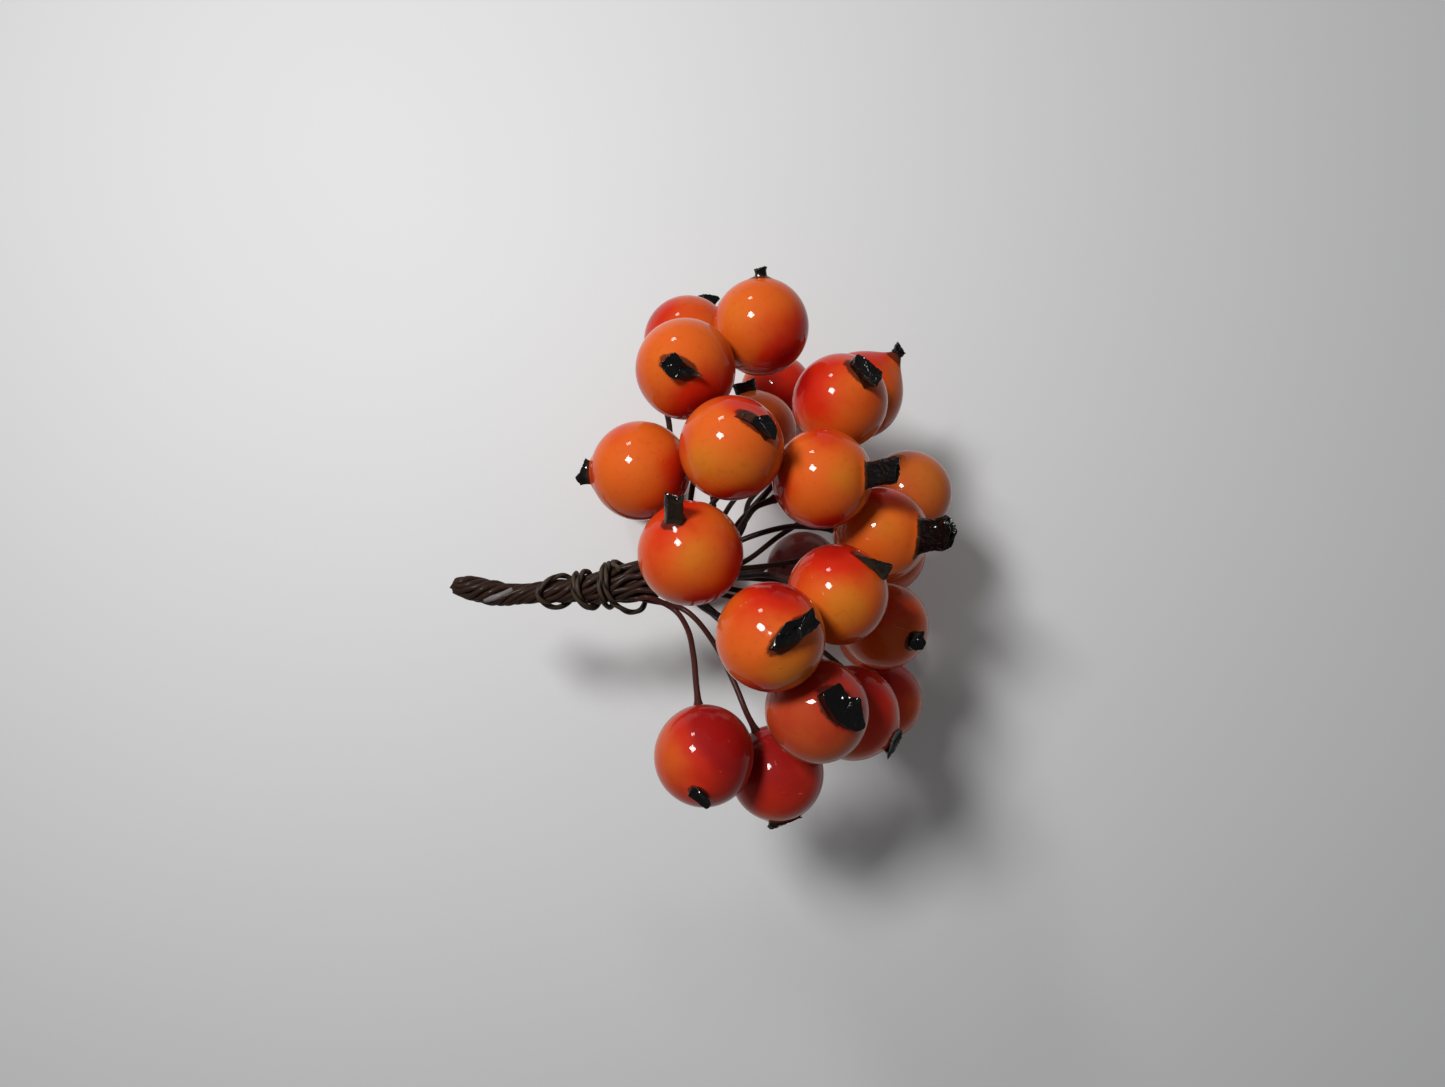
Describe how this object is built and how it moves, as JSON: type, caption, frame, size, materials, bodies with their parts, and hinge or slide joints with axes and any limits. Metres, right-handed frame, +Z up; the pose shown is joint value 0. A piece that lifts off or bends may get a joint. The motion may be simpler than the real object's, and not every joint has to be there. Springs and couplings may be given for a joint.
{
  "type": "artificial rowan berry sprig",
  "caption": "Bunch of glossy orange-red artificial rowan berries on covered wire stems, twisted into a short bound handle, for wreaths, flower arrangements and table displays.",
  "frame": {"origin": "on the table, under the middle of the box of the whole sprig", "axes": "+Z up; the handle lies along X with its folded end towards -X and the bunch spreads towards +X; +Y is the top of the picture, which looks straight down"},
  "size_m": [0.068, 0.0702, 0.0642],
  "materials": {
    "berry": "thick clear lacquer over orange-red, yellower away from the stem",
    "tuft": "crumpled black crepe stiffened with lacquer",
    "stem": "dark brown paper-covered wire with a slight sheen",
    "wire": "khaki brown covered binding wire"
  },
  "bodies": {
    "root": {"stems": "stem", "binding_wire": "wire", "berry_01": "berry", "tuft_01": "tuft", "berry_02": "berry", "tuft_02": "tuft", "berry_03": "berry", "tuft_03": "tuft", "berry_04": "berry", "tuft_04": "tuft", "berry_05": "berry", "tuft_05": "tuft", "berry_06": "berry", "tuft_06": "tuft", "berry_07": "berry", "tuft_07": "tuft", "berry_08": "berry", "tuft_08": "tuft", "berry_09": "berry", "tuft_09": "tuft", "berry_10": "berry", "tuft_10": "tuft", "berry_11": "berry", "tuft_11": "tuft", "berry_12": "berry", "tuft_12": "tuft", "berry_13": "berry", "tuft_13": "tuft", "berry_14": "berry", "tuft_14": "tuft", "berry_15": "berry", "tuft_15": "tuft", "berry_16": "berry", "tuft_16": "tuft", "berry_17": "berry", "tuft_17": "tuft", "berry_18": "berry", "tuft_18": "tuft", "berry_19": "berry", "tuft_19": "tuft", "berry_20": "berry", "tuft_20": "tuft", "berry_21": "berry", "tuft_21": "tuft", "berry_22": "berry", "tuft_22": "tuft", "berry_23": "berry", "tuft_23": "tuft", "berry_24": "berry", "tuft_24": "tuft", "berry_25": "berry", "tuft_25": "tuft", "berry_26": "berry", "tuft_26": "tuft"}
  },
  "joints": []
}
